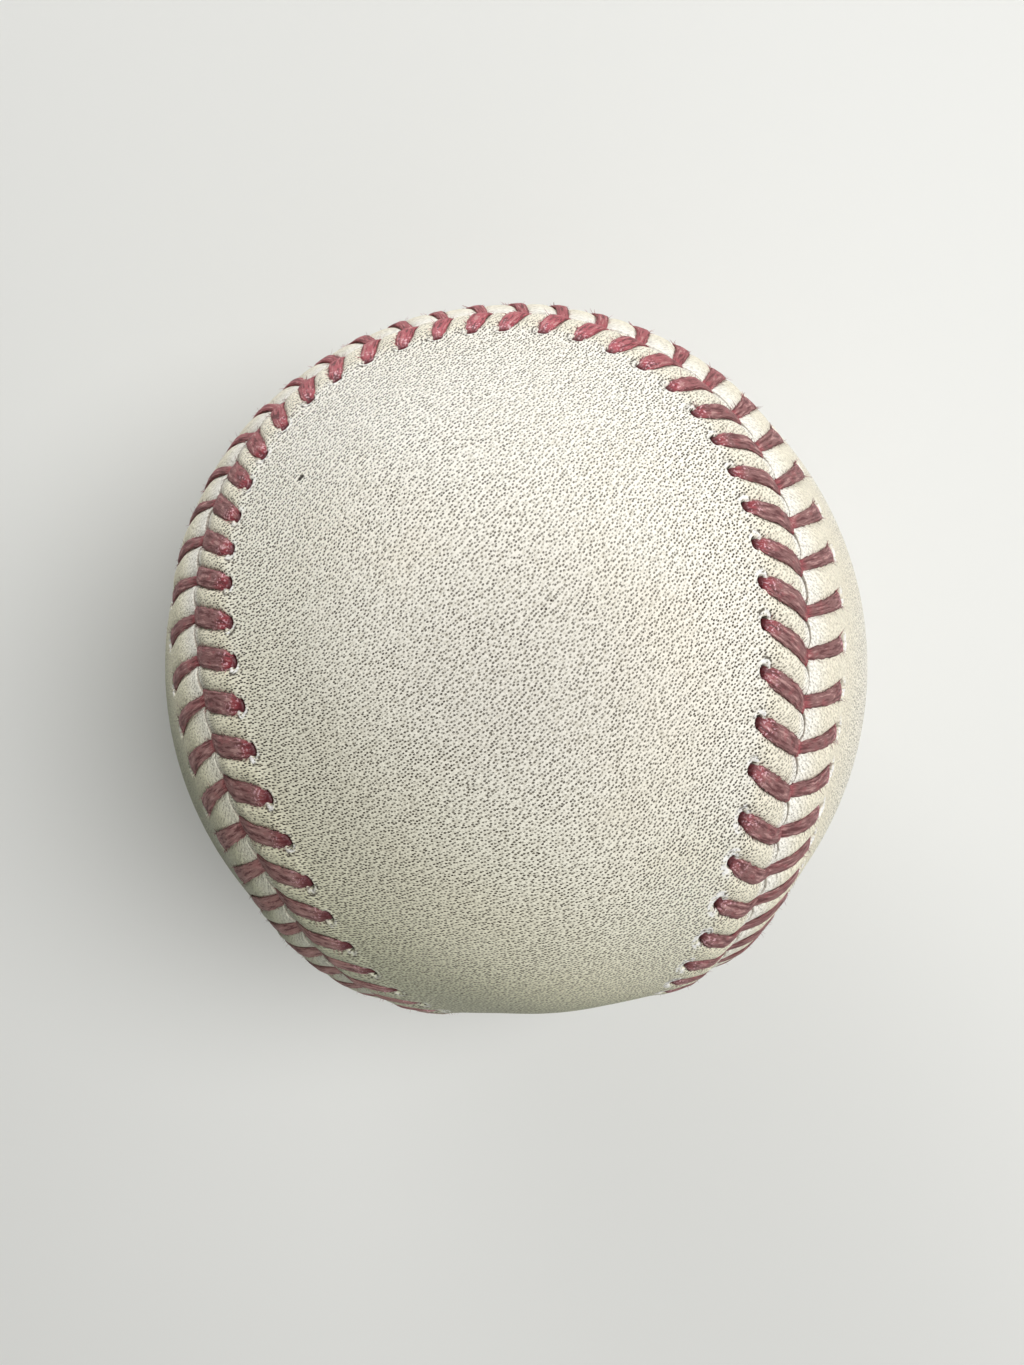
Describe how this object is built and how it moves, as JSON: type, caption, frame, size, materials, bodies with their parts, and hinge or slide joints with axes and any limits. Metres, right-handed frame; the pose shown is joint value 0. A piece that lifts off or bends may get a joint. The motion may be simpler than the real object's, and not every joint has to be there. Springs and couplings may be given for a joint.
{
  "type": "baseball",
  "caption": "Leather-covered baseball: cork and rubber pill, wool windings, and figure-eight cover panels laced with raised red thread.",
  "frame": {"origin": "centre of the ball", "axes": "+Z through the middle of the front panel's upper lobe, +Y towards that lobe's round end, +X through a lobe of the back panel"},
  "size_m": [0.0742, 0.0742, 0.0742],
  "materials": {
    "cover_leather": "alum-tanned cowhide, game worn",
    "seam_thread": "waxed red cotton thread",
    "finish_yarn": "fine white poly-cotton yarn",
    "white_wool": "three-ply white wool yarn",
    "grey_wool": "grey wool yarn",
    "red_rubber": "moulded red rubber",
    "black_rubber": "moulded black rubber",
    "cork": "cork and rubber composition"
  },
  "bodies": {
    "root": {"cork_core": "cork", "black_rubber_cup_upper": "black_rubber", "black_rubber_cup_lower": "black_rubber", "rubber_washer": "red_rubber", "red_rubber_half_upper": "red_rubber", "red_rubber_half_lower": "red_rubber", "wool_winding_first": "grey_wool", "wool_winding_second": "white_wool", "wool_winding_third": "grey_wool", "finish_winding": "finish_yarn", "cover_panel_front": "cover_leather", "cover_panel_back": "cover_leather", "seam_thread_first": "seam_thread", "seam_thread_second": "seam_thread"}
  },
  "joints": []
}
